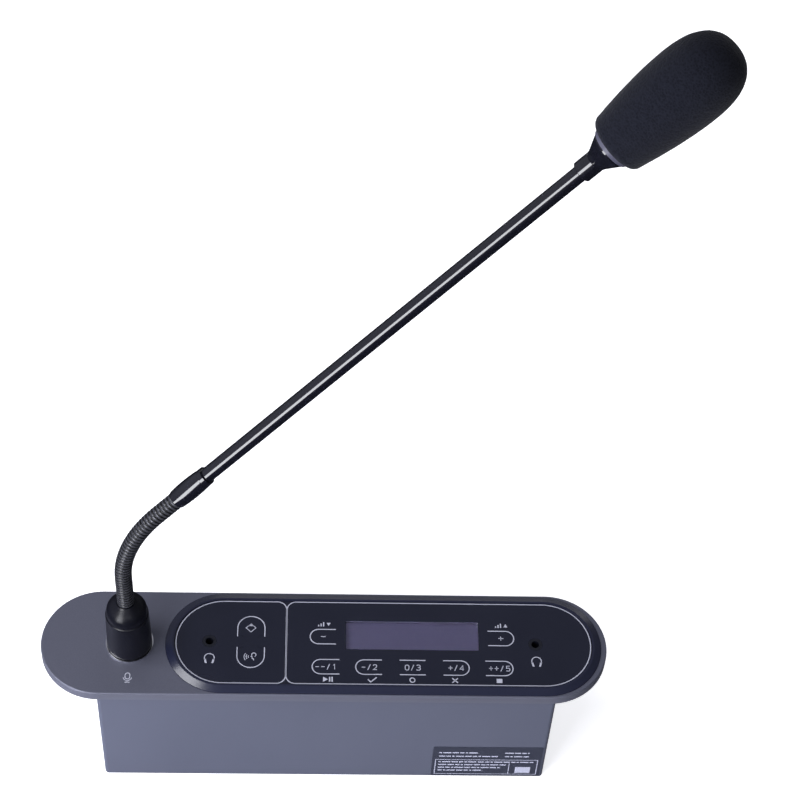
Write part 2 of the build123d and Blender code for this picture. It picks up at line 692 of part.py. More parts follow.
def make_link(low_joint, high_joint):
    """A rigid link: a dish for the ball below it, and a ball on a stem for the dish above it."""
    half_gap = NECK_GAP / 2
    start = half_gap if low_joint is not None else 0.0
    low = low_joint if low_joint is not None else 0.0
    high = high_joint if high_joint is not None else neck_length()
    plane = neck_plane((low + high) / 2)
    reach = high - low
    end = reach - half_gap if high_joint is not None else reach
    link = rod(NECK_R, start - reach / 2, end - reach / 2)
    if high_joint is not None:
        link += rod(BALL_STEM_R, end - reach / 2 - 0.5, reach / 2)
        link += Pos(0, 0, reach / 2) * Sphere(BALL_R)
    if low_joint is not None:
        link -= Pos(0, 0, -reach / 2) * Sphere(BALL_R + BALL_FIT)
    return plane.location * link


# ---- stem and head ----
def along_stem(shape):
    """Moves a shape drawn on the stem's axis, with height 0 at the neck's end, into place."""
    return neck_plane(neck_length()).location * shape


def make_lower_sleeve():
    """A slightly crowned sleeve that joins the neck to the stem, with a narrower lip on top."""
    crown = ThreePointArc(
        (LOWER_SLEEVE_R - LOWER_SLEEVE_CROWN, 0.4),
        (LOWER_SLEEVE_R, (LOWER_SLEEVE - LOWER_LIP) / 2),
        (LOWER_SLEEVE_R - LOWER_SLEEVE_CROWN, LOWER_SLEEVE - LOWER_LIP),
    )
    bore = STEM_R + STEM_FIT
    floor = LOWER_SLEEVE - STEM_SOCKET
    rest = Polyline(
        (LOWER_SLEEVE_R - LOWER_SLEEVE_CROWN, LOWER_SLEEVE - LOWER_LIP),
        (LOWER_LIP_R, LOWER_SLEEVE - LOWER_LIP + 0.3),
        (LOWER_LIP_R, LOWER_SLEEVE),
        (bore, LOWER_SLEEVE),
        (bore, floor),
        (0, floor),
        (0, 0),
        (LOWER_SLEEVE_R - LOWER_SLEEVE_CROWN - 0.4, 0),
        (LOWER_SLEEVE_R - LOWER_SLEEVE_CROWN, 0.4),
    )
    return along_stem(revolve(Plane.XZ * make_face([crown, rest]), Axis.Z))


def stem_top():
    return LOWER_SLEEVE + STEM_LENGTH


def make_stem_tube():
    low = LOWER_SLEEVE - STEM_SOCKET
    return along_stem(tube(STEM_R, STEM_R - STEM_WALL, low, stem_top() + STEM_SOCKET - 0.5))


def make_head_ferrule():
    low = stem_top()
    high = low + FERRULE
    bore = STEM_R + STEM_FIT
    return along_stem(turned([
        (bore, low),
        (FERRULE_R - 0.3, low),
        (FERRULE_R, low + 0.3),
        (FERRULE_R, high - 0.2),
        (FERRULE_R - 0.2, high),
        (bore, high),
    ]))


def make_head_housing():
    """The flared cone under the windscreen with a spigot that carries the capsule's cage."""
    low = stem_top() + FERRULE
    high = low + CONE
    return along_stem(turned([
        (0, low),
        (FERRULE_R - 0.1, low),
        (FERRULE_R + 0.3, low + 1.2),
        (CONE_TOP_R, high - 0.8),
        (CONE_TOP_R, high),
        (CAGE_R - CAGE_WALL - 0.05, high),
        (CAGE_R - CAGE_WALL - 0.05, high + INDICATOR + 2.0),
        (0, high + INDICATOR + 2.0),
    ]))


def foam_base():
    return stem_top() + FERRULE + CONE


def make_indicator_ring():
    low = foam_base()
    return along_stem(tube(INDICATOR_R, CAGE_R + 0.05, low, low + INDICATOR))


def make_capsule_cage():
    """A slotted tube with a domed end round the capsule, under the foam."""
    low = foam_base()
    cage = rod(CAGE_R, low, low + CAGE_LENGTH)
    cage = fillet(cage.edges().group_by(Axis.Z)[-1], 2.5)
    cage -= rod(CAGE_R - CAGE_WALL, low - 1, low + CAGE_LENGTH - CAGE_WALL)
    slot_low = low + CAGE_LENGTH / 2
    slot_high = low + CAGE_LENGTH - 4.0
    for number in range(CAGE_SLOTS):
        slot = Pos(CAGE_R, 0, (slot_low + slot_high) / 2) * Box(4.0, CAGE_SLOT, slot_high - slot_low)
        cage -= Rot(0, 0, number * 360 / CAGE_SLOTS) * slot
    return along_stem(cage)


def make_mic_capsule():
    low = foam_base() + CAGE_LENGTH - CAGE_WALL - 1.0 - CAPSULE_LENGTH
    return along_stem(rod(CAPSULE_R, low, low + CAPSULE_LENGTH))


def make_windscreen():
    """A pear-shaped foam cover, narrow at its mouth, with a bore that fits over the cage."""
    low = foam_base()
    rim = 3.0
    shell = Spline(
        (FOAM_LOW_R, low + rim),
        (13.6, low + 0.4 * FOAM_MAX_AT),
        (FOAM_MAX_R, low + FOAM_MAX_AT),
        (13.3, low + FOAM_LENGTH - 7.8),
        (8.6, low + FOAM_LENGTH - 2.2),
        (0, low + FOAM_LENGTH),
        tangents=[(0.35, 1), (-1, 0)],
    )
    bottom = Spline(
        (FOAM_MOUTH_R + 0.1, low),
        (FOAM_LOW_R, low + rim),
        tangents=[(1, 0), (0.35, 1)],
    )
    bore = CAGE_R + FOAM_FIT
    depth = CAGE_LENGTH + FOAM_FIT
    ring = INDICATOR_R + FOAM_FIT
    rest = Polyline(
        (0, low + FOAM_LENGTH),
        (0, low + depth),
        (bore - BORE_CHAMFER, low + depth),
        (bore, low + depth - BORE_CHAMFER),
        (bore, low + INDICATOR + FOAM_FIT),
        (ring, low + INDICATOR + FOAM_FIT),
        (ring, low),
        (FOAM_MOUTH_R + 0.1, low),
    )
    return along_stem(revolve(Plane.XZ * make_face([bottom, shell, rest]), Axis.Z))


def build():
    PARTS.update({
        "deck_plate": make_deck_plate(),
        "case_tabs": make_case_tabs(),
        "bottom_cover": make_bottom_cover(),
        "cover_screws": make_cover_screws(),
        "deck_screws": make_deck_screws(),
        "info_label": make_info_label(),
        "bus_sockets": make_bus_sockets(),
        "bus_board": make_bus_board(),
        "panel_bezel": make_panel_bezel(),
        "panel_overlay": make_panel_overlay(),
        "display_window": make_display_window(),
        "lcd_glass": make_lcd_glass(),
        "lcd_frame": make_lcd_frame(),
        "main_board": make_main_board(),
        "tact_switches": make_tact_switches(),
        "board_screws": make_board_screws(),
        "socket_shell": make_socket_shell(),
        "socket_insulator": make_socket_insulator(),
        "socket_nut": make_socket_nut(),
        "plug_body": make_plug_body(),
        "plug_insulator": make_plug_insulator(),
        "plug_pins": make_plug_pins(),
        "lock_sleeve": make_lock_sleeve(),
        "neck_collar": make_neck_collar(),
        "lower_sleeve": make_lower_sleeve(),
        "stem_tube": make_stem_tube(),
        "head_ferrule": make_head_ferrule(),
        "head_housing": make_head_housing(),
        "indicator_ring": make_indicator_ring(),
        "capsule_cage": make_capsule_cage(),
        "mic_capsule": make_mic_capsule(),
        "windscreen": make_windscreen(),
    })
    PARTS.update(make_case_sheets())
    for side, x in JACK_XS.items():
        PARTS[f"headphone_jack_{side}"] = make_headphone_jack(x)
    for name, place in key_places().items():
        PARTS[name] = make_key(*place)
    stops = [None] + joint_lengths() + [None]
    names = ["neck_root"] + [f"neck_link_{n:02d}" for n in range(1, NECK_JOINTS)] + ["neck_tip"]
    for name, low, high in zip(names, stops[:-1], stops[1:]):
        PARTS[name] = make_link(low, high)


build()
os.makedirs("parts", exist_ok=True)
for node, shape in PARTS.items():
    export_step(shape, f"parts/{node}.step")
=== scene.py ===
"""Looks of the gooseneck conference microphone unit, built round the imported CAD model."""
import math

import bpy
from mathutils import Matrix, Vector, noise


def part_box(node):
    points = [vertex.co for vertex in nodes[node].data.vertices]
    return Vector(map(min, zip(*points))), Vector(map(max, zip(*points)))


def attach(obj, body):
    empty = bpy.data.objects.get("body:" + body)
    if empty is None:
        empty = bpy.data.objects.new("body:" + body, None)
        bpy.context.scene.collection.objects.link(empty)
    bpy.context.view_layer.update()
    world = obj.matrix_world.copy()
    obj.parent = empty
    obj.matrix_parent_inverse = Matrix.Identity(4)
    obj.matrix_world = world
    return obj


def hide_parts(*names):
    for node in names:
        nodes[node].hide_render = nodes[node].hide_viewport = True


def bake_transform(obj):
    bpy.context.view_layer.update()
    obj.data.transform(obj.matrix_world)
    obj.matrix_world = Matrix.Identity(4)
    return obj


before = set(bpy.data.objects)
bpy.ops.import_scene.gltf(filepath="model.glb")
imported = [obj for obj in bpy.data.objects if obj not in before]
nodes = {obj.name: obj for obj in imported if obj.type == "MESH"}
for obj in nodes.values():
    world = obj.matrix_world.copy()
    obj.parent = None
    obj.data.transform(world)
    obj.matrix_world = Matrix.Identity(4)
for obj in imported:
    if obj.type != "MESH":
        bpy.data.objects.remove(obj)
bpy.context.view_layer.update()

MM = 0.001
Z_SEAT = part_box("deck_plate")[0].z        # underside of the deck plate
Z_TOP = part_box("deck_plate")[1].z         # upper face of the deck plate
Z_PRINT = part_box("panel_overlay")[1].z    # face of the pod that carries the printing


# ---------------------------------------------------------------- camera
VIEW_AZIMUTH = math.radians(-4.09)
VIEW_ELEVATION = math.radians(51.86)
VIEW_ROLL = math.radians(4.12)
VIEW_DISTANCE = 1.0669
VIEW_TARGET = Vector((0.0351, 0.1375, Z_TOP))
LENS = 99.85
SENSOR = 36
CLIP_START = 0.01


def make_camera():
    flat = math.cos(VIEW_ELEVATION)
    back = Vector((math.sin(VIEW_AZIMUTH) * flat, -math.cos(VIEW_AZIMUTH) * flat, math.sin(VIEW_ELEVATION)))
    right = Vector((math.cos(VIEW_AZIMUTH), math.sin(VIEW_AZIMUTH), 0))
    up = back.cross(right)
    rolled_right = right * math.cos(VIEW_ROLL) + up * math.sin(VIEW_ROLL)
    rolled_up = up * math.cos(VIEW_ROLL) - right * math.sin(VIEW_ROLL)
    data = bpy.data.cameras.new("camera")
    data.lens = LENS
    data.sensor_width = SENSOR
    data.clip_start = CLIP_START
    camera = bpy.data.objects.new("camera", data)
    bpy.context.scene.collection.objects.link(camera)
    turn = Matrix((rolled_right, rolled_up, back)).transposed().to_4x4()
    camera.matrix_world = Matrix.Translation(VIEW_TARGET + back * VIEW_DISTANCE) @ turn
    bpy.context.scene.camera = camera


# ---------------------------------------------------------------- lights, world and floor
LIGHT_COLOUR = (0.95, 0.96, 1.0)
MIDDLE = (0.0, 0.0, 0.12)
LIGHTS = (
    # name, place, aimed at, size, watts, whether glossy surfaces mirror it
    ("key_left", (-0.66, -0.06, 1.16), (-0.02, 0, Z_TOP), (0.55, 0.42), 8, True),
    ("strip_front", (-0.60, -0.80, 0.36), (0.03, 0.02, 0.24), (0.42, 0.9), 11, True),
    ("edge_left", (-0.62, -0.42, 0.13), (-0.10, 0, Z_SEAT), (0.35, 0.2), 6.5, False),
    ("fill_front", (0.15, -1.3, 0.9), MIDDLE, (1.0, 0.5), 1.6, True),
    ("rim_back", (0.25, 1.0, 0.55), MIDDLE, (0.9, 0.3), 2, True),
)
WORLD_TINT = (0.86, 0.88, 1.0, 1)
WORLD_FADES = (
    # axis of the sky direction, the stretch over which it fades, and the strength at each end
    ("X", (-1, 0.8), (0.42, 0.16)),
    ("Z", (-0.25, 0.2), (0.08, 1.0)),
)
WHITE = (1, 1, 1, 1)
FLOOR_HALF = 3.0
FLOOR_DROP = 0.2 * MM        # keeps the floor clear of the case's underside
FLOOR_GLOW = 0.65


def make_lights():
    for name, place, aim, size, watts, mirrored in LIGHTS:
        data = bpy.data.lights.new(name, "AREA")
        data.shape = "RECTANGLE"
        data.size, data.size_y = size
        data.energy = watts
        data.color = LIGHT_COLOUR
        light = bpy.data.objects.new(name, data)
        bpy.context.scene.collection.objects.link(light)
        light.location = place
        light.rotation_euler = (Vector(place) - Vector(aim)).to_track_quat("Z", "Y").to_euler()
        light.visible_glossy = mirrored


def make_world():
    """White for the camera. For everything else, a soft surround that is brighter on the left and above."""
    world = bpy.data.worlds.new("studio")
    bpy.context.scene.world = world
    world.use_nodes = True
    tree = world.node_tree
    new, link = tree.nodes.new, tree.links.new
    direction, product = new("ShaderNodeSeparateXYZ"), new("ShaderNodeMath")
    link(new("ShaderNodeTexCoord").outputs["Generated"], direction.inputs["Vector"])
    product.operation = "MULTIPLY"
    for index, (axis, span, strengths) in enumerate(WORLD_FADES):
        fade = new("ShaderNodeMapRange")
        link(direction.outputs[axis], fade.inputs["Value"])
        fade.inputs["From Min"].default_value, fade.inputs["From Max"].default_value = span
        fade.inputs["To Min"].default_value, fade.inputs["To Max"].default_value = strengths
        link(fade.outputs["Result"], product.inputs[index])
    surround, seen = tree.nodes["Background"], new("ShaderNodeBackground")
    surround.inputs["Color"].default_value = WORLD_TINT
    link(product.outputs["Value"], surround.inputs["Strength"])
    seen.inputs["Color"].default_value = WHITE
    mixed = new("ShaderNodeMixShader")
    link(new("ShaderNodeLightPath").outputs["Is Camera Ray"], mixed.inputs["Fac"])
    link(surround.outputs["Background"], mixed.inputs[1])
    link(seen.outputs["Background"], mixed.inputs[2])
    link(mixed.outputs["Shader"], tree.nodes["World Output"].inputs["Surface"])


def make_floor():
    """A pale floor that glows a little, and that glossy surfaces don't mirror."""
    mesh = bpy.data.meshes.new("floor")
    corners = [(x * FLOOR_HALF, y * FLOOR_HALF, 0) for x, y in ((-1, -1), (1, -1), (1, 1), (-1, 1))]
    mesh.from_pydata(corners, [], [(0, 1, 2, 3)])
    floor = bpy.data.objects.new("floor", mesh)
    bpy.context.scene.collection.objects.link(floor)
    floor.location.z = -FLOOR_DROP
    material = Material("floor", base=(0.88, 0.88, 0.90), rough=0.7, spec=0.1)
    material.bsdf.inputs["Emission Color"].default_value = WHITE
    material.bsdf.inputs["Emission Strength"].default_value = FLOOR_GLOW
    mesh.materials.append(material.data)
    floor.visible_glossy = False


# ---------------------------------------------------------------- materials
SOCKETS = {
    "base": "Base Color", "rough": "Roughness", "metal": "Metallic", "spec": "Specular IOR Level",
    "coat": "Coat Weight", "coat_rough": "Coat Roughness", "sheen": "Sheen Weight", "ior": "IOR",
    "clear": "Transmission Weight",
}


def times(colour, factor):
    return tuple(min(channel * factor, 1) for channel in colour)


class Material:
    """A node material. Its settings go on the shader's own sockets, and its calls add the patterns."""

    def __init__(self, name, **settings):
        self.data = bpy.data.materials.new(name)
        self.data.use_nodes = True
        self.tree = self.data.node_tree
        self.bsdf = self.tree.nodes["Principled BSDF"]
        self.coords = self.tree.nodes.new("ShaderNodeTexCoord")
        self.bump_end = None
        for key, value in settings.items():
            self.bsdf.inputs[SOCKETS[key]].default_value = (*value, 1) if key == "base" else value

    def link(self, a, b):
        self.tree.links.new(a, b)

    def noise(self, scale, detail=2.0, stretch=(1, 1, 1)):
        mapping = self.tree.nodes.new("ShaderNodeMapping")
        mapping.inputs["Scale"].default_value = stretch
        self.link(self.coords.outputs["Object"], mapping.inputs["Vector"])
        texture = self.tree.nodes.new("ShaderNodeTexNoise")
        texture.inputs["Scale"].default_value = scale
        texture.inputs["Detail"].default_value = detail
        self.link(mapping.outputs["Vector"], texture.inputs["Vector"])
        return texture.outputs["Fac"]

    def cells(self, scale):
        texture = self.tree.nodes.new("ShaderNodeTexVoronoi")
        texture.inputs["Scale"].default_value = scale
        self.link(self.coords.outputs["Object"], texture.inputs["Vector"])
        return texture.outputs["Distance"]

    def colour_by(self, value, *stops):
        """Base colour from a pattern. Each of the two stops is a value and its colour."""
        ramp = self.tree.nodes.new("ShaderNodeValToRGB")
        for element, (place, colour) in zip(ramp.color_ramp.elements, stops):
            element.position = place
            element.color = (*colour, 1)
        self.link(value, ramp.inputs["Fac"])
        self.link(ramp.outputs["Color"], self.bsdf.inputs["Base Color"])

    def rough_by(self, value, low, high):
        mapped = self.tree.nodes.new("ShaderNodeMapRange")
        mapped.inputs["To Min"].default_value = low
        mapped.inputs["To Max"].default_value = high
        self.link(value, mapped.inputs["Value"])
        self.link(mapped.outputs["Result"], self.bsdf.inputs["Roughness"])

    def bump(self, value, height, strength):
        """Relief of some height in millimetres. A second call adds to the first."""
        node = self.tree.nodes.new("ShaderNodeBump")
        node.inputs["Strength"].default_value = strength
        node.inputs["Distance"].default_value = height * MM
        self.link(value, node.inputs["Height"])
        if self.bump_end is not None:
            self.link(self.bump_end, node.inputs["Normal"])
        self.bump_end = node.outputs["Normal"]
        self.link(self.bump_end, self.bsdf.inputs["Normal"])


def deck_paint():
    m = Material("deck_paint", metal=0.3)
    grain = m.noise(9000, 3)
    m.colour_by(grain, (0.25, (0.082, 0.085, 0.116)), (0.75, (0.128, 0.133, 0.178)))
    m.rough_by(m.noise(18), 0.33, 0.42)
    m.bump(grain, 0.012, 0.6)
    return m.data


def case_paint():
    m = Material("case_paint", metal=0.25)
    grain = m.noise(5200, 4)
    broad = m.noise(22, 3, (1, 1, 0.4))
    m.colour_by(broad, (0.3, (0.084, 0.092, 0.134)), (0.7, (0.092, 0.100, 0.145)))
    m.rough_by(grain, 0.42, 0.56)
    m.bump(grain, 0.02, 0.5)
    return m.data


def pod_gloss():
    m = Material("pod_gloss")
    base = (0.012, 0.014, 0.032)
    specks = m.noise(4200)
    m.colour_by(specks, (0.3, times(base, 0.94)), (0.7, times(base, 1.08)))
    m.rough_by(m.noise(60), 0.20, 0.27)
    m.bump(specks, 0.003, 0.3)
    return m.data


def overlay_print():
    m = Material("overlay_print")
    cloud = m.noise(30)
    m.colour_by(cloud, (0.3, (0.0070, 0.0085, 0.0195)), (0.7, (0.0085, 0.0100, 0.0225)))
    m.rough_by(cloud, 0.22, 0.30)
    m.bump(m.noise(3000, 3), 0.004, 0.5)
    return m.data


def ink(name, base):
    m = Material(name, rough=0.5)
    m.colour_by(m.noise(12000), (0.3, times(base, 0.86)), (0.7, times(base, 1.08)))
    return m.data


def black_metal(name, base, rough, spec, coat):
    """Dark lacquered metal. rough is the range of its roughness."""
    m = Material(name, spec=spec, coat=coat, coat_rough=rough[0])
    patch = m.noise(900, 3)
    m.colour_by(patch, (0.3, times(base, 0.8)), (0.7, times(base, 1.25)))
    m.rough_by(m.noise(120), *rough)
    m.bump(patch, 0.004, 0.4)
    return m.data


def neck_steel(name, tone):
    m = Material(name, metal=0.35, spec=0.6)
    tint = (0.94, 0.97, 1.2)
    grain = m.noise(2600, 3)
    m.colour_by(grain, (0.3, times(tint, 0.030 * tone)), (0.75, times(tint, 0.055 * tone)))
    m.rough_by(m.noise(700), 0.24, 0.42)
    m.bump(grain, 0.01, 0.5)
    return m.data


def foam_black():
    m = Material("foam_black", rough=0.95, spec=0.1, sheen=0.04)
    pores = m.cells(1150)
    # Each pore's hollow is painted darker than its rim: painted shade in the pores.
    m.colour_by(pores, (0.12, (0.0032, 0.0036, 0.0066)), (0.55, (0.0070, 0.0078, 0.0130)))
    m.bump(pores, 0.22, 0.75)
    m.bump(m.noise(420, 4), 0.3, 0.35)
    return m.data


def bare_metal(name, base, grain, low, high):
    """Bright metal of one colour. low and high are the range of its roughness."""
    m = Material(name, base=base, metal=1.0)
    m.rough_by(m.noise(grain), low, high)
    return m.data


def steel():
    m = Material("screw_steel", metal=1.0)
    wear = m.noise(1400, 3)
    m.colour_by(wear, (0.3, (0.4, 0.4, 0.42)), (0.7, (0.58, 0.58, 0.6)))
    m.rough_by(wear, 0.22, 0.42)
    m.bump(wear, 0.01, 0.4)
    return m.data


def moulded_black():
    m = Material("moulded_black")
    grain = m.noise(2400, 3)
    m.colour_by(grain, (0.3, (0.012, 0.012, 0.014)), (0.7, (0.022, 0.022, 0.025)))
    m.rough_by(grain, 0.38, 0.55)
    m.bump(grain, 0.02, 0.5)
    return m.data


def jack_black():
    m = Material("jack_black", spec=0.4)
    grain = m.noise(1800)
    m.colour_by(grain, (0.3, (0.005, 0.006, 0.011)), (0.7, (0.008, 0.009, 0.015)))
    m.rough_by(grain, 0.26, 0.38)
    return m.data


def label_film():
    m = Material("label_film")
    grain = m.noise(2600)
    m.colour_by(grain, (0.3, (0.026, 0.029, 0.046)), (0.7, (0.032, 0.035, 0.054)))
    m.rough_by(grain, 0.3, 0.42)
    return m.data


def window_clear():
    m = Material("window_clear", base=(0.80, 0.80, 0.9), ior=1.49, clear=1.0)
    m.rough_by(m.noise(50), 0.03, 0.07)
    return m.data


def lcd_face():
    m = Material("lcd_face", rough=0.35)
    m.colour_by(m.noise(25), (0.3, (0.225, 0.205, 0.315)), (0.7, (0.245, 0.225, 0.340)))
    m.bump(m.noise(1500), 0.004, 0.3)
    return m.data


def light_ring():
    m = Material("light_ring", rough=0.38)
    m.colour_by(m.noise(300), (0.3, (0.045, 0.045, 0.075)), (0.7, (0.065, 0.065, 0.10)))
    return m.data


def circuit_board():
    m = Material("circuit_board", rough=0.35)
    weave = m.cells(700)
    m.colour_by(weave, (0.2, (0.008, 0.07, 0.025)), (0.6, (0.014, 0.11, 0.04)))
    m.bump(weave, 0.01, 0.4)
    return m.data


def paint_cad_nodes():
    """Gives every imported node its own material."""
    gloss = black_metal("stem_gloss", (0.004, 0.0042, 0.0075), (0.07, 0.12), 0.6, 0.5)
    connector = black_metal("connector_black", (0.0030, 0.0032, 0.0060), (0.26, 0.36), 0.3, 0.0)
    chrome = bare_metal("chrome", (0.82, 0.82, 0.84), 900, 0.08, 0.2)
    brass = bare_metal("brass_pins", (0.8, 0.58, 0.25), 2000, 0.18, 0.34)
    capsule = bare_metal("capsule_metal", (0.7, 0.7, 0.7), 1500, 0.22, 0.38)
    looks = {
        deck_paint(): ["deck_plate"],
        case_paint(): ["case_front", "case_back", "case_ends", "case_tabs", "bottom_cover"],
        steel(): ["cover_screws", "deck_screws", "board_screws", "socket_nut"],
        label_film(): ["info_label"],
        moulded_black(): ["bus_sockets", "socket_insulator", "plug_insulator", "lcd_frame", "tact_switches",
                          "capsule_cage"],
        pod_gloss(): ["panel_bezel"],
        jack_black(): ["headphone_jack_left", "headphone_jack_right"],
        overlay_print(): ["panel_overlay"] + [n for n in nodes if n.startswith("key_")],
        window_clear(): ["display_window"],
        lcd_face(): ["lcd_glass"],
        circuit_board(): ["main_board", "bus_board"],
        chrome: ["socket_shell"],
        brass: ["plug_pins"],
        connector: ["plug_body", "lock_sleeve", "neck_collar"],
        neck_steel("neck_steel", 1.0): [n for n in nodes if n.startswith("neck_") and n != "neck_collar"],
        gloss: ["stem_tube", "lower_sleeve", "head_ferrule", "head_housing"],
        light_ring(): ["indicator_ring"],
        capsule: ["mic_capsule"],
        foam_black(): ["windscreen"],
    }
    for material, names in looks.items():
        for name in names:
            mesh = nodes[name].data
            mesh.materials.clear()
            mesh.materials.append(material)
    missing = [n for n, o in nodes.items() if not o.data.materials]
    assert not missing, missing


# ---------------------------------------------------------------- made pieces
def add_piece(name, verts, faces, material, slot, sharp=None):
    """A shown mesh. sharp is the angle in radians over which its edges are sharp, or None for smooth."""
    mesh = bpy.data.meshes.new(name)
    mesh.from_pydata([tuple(v) for v in verts], [], faces)
    mesh.materials.append(material)
    mesh.shade_smooth()
    if sharp is not None:
        mesh.set_sharp_from_angle(angle=sharp)
    piece = bpy.data.objects.new(name, mesh)
    bpy.context.scene.collection.objects.link(piece)
    return piece


def skin_of_rings(rings):
    """Vertices and faces of a closed skin over rings of equal count, with a fan at each end."""
    count = len(rings[0])
    verts = [v for ring in rings for v in ring]
    faces = []
    for row in range(len(rings) - 1):
        for k in range(count):
            a, b = row * count + k, row * count + (k + 1) % count
            faces.append((a, b, b + count, a + count))
    for row, turned in ((0, True), (len(rings) - 1, False)):
        verts.append(sum(rings[row], Vector()) / count)
        hub = len(verts) - 1
        for k in range(count):
            a, b = row * count + k, row * count + (k + 1) % count
            faces.append((hub, b, a) if turned else (hub, a, b))
    return verts, faces


# ---- gooseneck ----
NECK_FOOT = Vector((-0.086, -0.0005, 0.110))
NECK_RISE = 19.2 * MM          # straight stretch at the foot
NECK_ARC_R = 57.5 * MM
NECK_TILT = math.radians(44.05)
NECK_TAIL = 11.9 * MM          # straight stretch after the bend
NECK_HEADING = math.radians(13)
NECK_LENGTH = NECK_RISE + NECK_ARC_R * NECK_TILT + NECK_TAIL
NECK_PARTS = 12
RIB_PITCH = 1.86 * MM
RIB_LOW = 3.16 * MM
RIB_HIGH = 3.68 * MM
RIB_SHAPE = 0.7                # under 1 for a flat crown and a narrow groove
# Faces outside this share are painted near black: painted shade in the grooves.
RIB_CROWN = (0.24, 0.76)       # the share of each turn that isn't groove
RIB_SIDES = 60
RIB_STEPS = 34
AHEAD = Vector((math.cos(NECK_HEADING), math.sin(NECK_HEADING), 0))
UP = Vector((0, 0, 1))


def neck_frame(s):
    """Centre, direction and the two cross directions of the neck at distance s from its foot."""
    angle = min(max(s - NECK_RISE, 0) / NECK_ARC_R, NECK_TILT)
    along = UP * math.cos(angle) + AHEAD * math.sin(angle)
    out = AHEAD * math.cos(angle) - UP * math.sin(angle)
    centre = NECK_FOOT + UP * min(s, NECK_RISE)
    centre += (AHEAD * (1 - math.cos(angle)) + UP * math.sin(angle)) * NECK_ARC_R
    centre += along * max(s - NECK_RISE - NECK_ARC_R * NECK_TILT, 0)
    return centre, along, out, along.cross(out)


def rib_turn(s, share):
    """How far through one turn of the winding a point is, at distance s and that share of the way round."""
    return (s / RIB_PITCH - share) % 1.0


def neck_ring(s):
    centre, _, out, side = neck_frame(s)
    ring = []
    for k in range(RIB_SIDES):
        crown = math.sin(math.pi * rib_turn(s, k / RIB_SIDES)) ** RIB_SHAPE
        angle = 2 * math.pi * k / RIB_SIDES
        reach = RIB_LOW + (RIB_HIGH - RIB_LOW) * crown
        ring.append(centre + (out * math.cos(angle) + side * math.sin(angle)) * reach)
    return ring


def make_neck(material, groove):
    """The wound steel skin in twelve pieces, one after another along the neck."""
    hidden = ["neck_root"] + [f"neck_link_{k:02d}" for k in range(1, NECK_PARTS)] + ["neck_tip"]
    part_length = NECK_LENGTH / NECK_PARTS
    for part in range(NECK_PARTS):
        rings = [neck_ring((part + step / RIB_STEPS) * part_length) for step in range(RIB_STEPS + 1)]
        skin = add_piece(f"neck_skin_{part + 1:02d}", *skin_of_rings(rings), material, "neck_steel")
        # Faces in the grooves take a copy of the steel at 0.09 of its tone: painted shade between the ribs.
        skin.data.materials.append(groove)
        for row in range(RIB_STEPS):
            s = (part + (row + 0.5) / RIB_STEPS) * part_length
            for k in range(RIB_SIDES):
                on_crown = RIB_CROWN[0] < rib_turn(s, (k + 0.5) / RIB_SIDES) < RIB_CROWN[1]
                skin.data.polygons[row * RIB_SIDES + k].material_index = 0 if on_crown else 1
        start, end = (neck_frame((part + k) * part_length)[0] for k in (0, 1))
        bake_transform(skin)
        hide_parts(hidden[part])
    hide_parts(hidden[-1])


# ---- windscreen ----
FOAM_AT = 235.7 * MM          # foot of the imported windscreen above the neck's end
FOAM_LENGTH = 58.5 * MM
FOAM_WIDEST = 36.0 * MM       # its widest place above that foot
FOAM_MAX_R = 15.3 * MM
FOAM_LOW_R = 11.7 * MM
FOAM_MOUTH_R = 9.6 * MM
FOAM_BORE_R = 8.5 * MM
FOAM_RIM = 3.0 * MM           # height of the rounded edge round the mouth
FOAM_RECESS = 2.5 * MM        # depth of the mouth
FOAM_LIFT = 1.9 * MM          # the foam's edge sits this far up the light ring
FOAM_TAPER = 1.7              # power of the curve below the widest place
FOAM_DOME = 2.5               # power of the rounded tip
FOAM_SIDES = 240
FOAM_ROWS = 190
MOUTH_STEPS = 8
BORE_STEPS = 5
LUMPS = ((900, 0.05 * MM), (260, 0.07 * MM))    # scale and height of the foam's unevenness
LUMP_OUT, LUMP_ALONG = 0.9, 0.2                 # how far it goes outwards and along the stem
STEM_FOOT, STEM_ALONG, STEM_OUT, STEM_SIDE = neck_frame(NECK_LENGTH)


def foam_body_radius(t):
    if t < FOAM_WIDEST:
        rest = (FOAM_WIDEST - t) / (FOAM_WIDEST - FOAM_RIM)
        return FOAM_MAX_R - (FOAM_MAX_R - FOAM_LOW_R) * rest ** FOAM_TAPER
    rest = (t - FOAM_WIDEST) / (FOAM_LENGTH - FOAM_WIDEST)
    return FOAM_MAX_R * max(1 - rest ** FOAM_DOME, 0) ** (1 / FOAM_DOME)


def foam_radius(t):
    """Radius of the foam at height t above the windscreen's foot, with the rounded edge at its mouth."""
    rim_top = FOAM_LIFT + FOAM_RIM
    if t >= rim_top:
        return foam_body_radius(t)
    share = (t - FOAM_LIFT) / FOAM_RIM
    rise = math.sqrt(max(1 - (1 - share) ** 2, 0))
    return FOAM_MOUTH_R + (foam_body_radius(rim_top) - FOAM_MOUTH_R) * rise


def foam_outline():
    """Radius and height of the foam's skin, from the middle of its mouth to its tip."""
    floor = FOAM_LIFT + FOAM_RECESS
    points = [(FOAM_BORE_R * k / MOUTH_STEPS, floor) for k in range(1, MOUTH_STEPS + 1)]
    points += [(FOAM_BORE_R, floor - FOAM_RECESS * k / BORE_STEPS) for k in range(1, BORE_STEPS + 1)]
    for row in range(FOAM_ROWS):
        share = (1 - math.cos(math.pi * row / FOAM_ROWS)) / 2
        t = FOAM_LIFT + (FOAM_LENGTH - FOAM_LIFT) * share
        points.append((foam_radius(t), t))
    return points


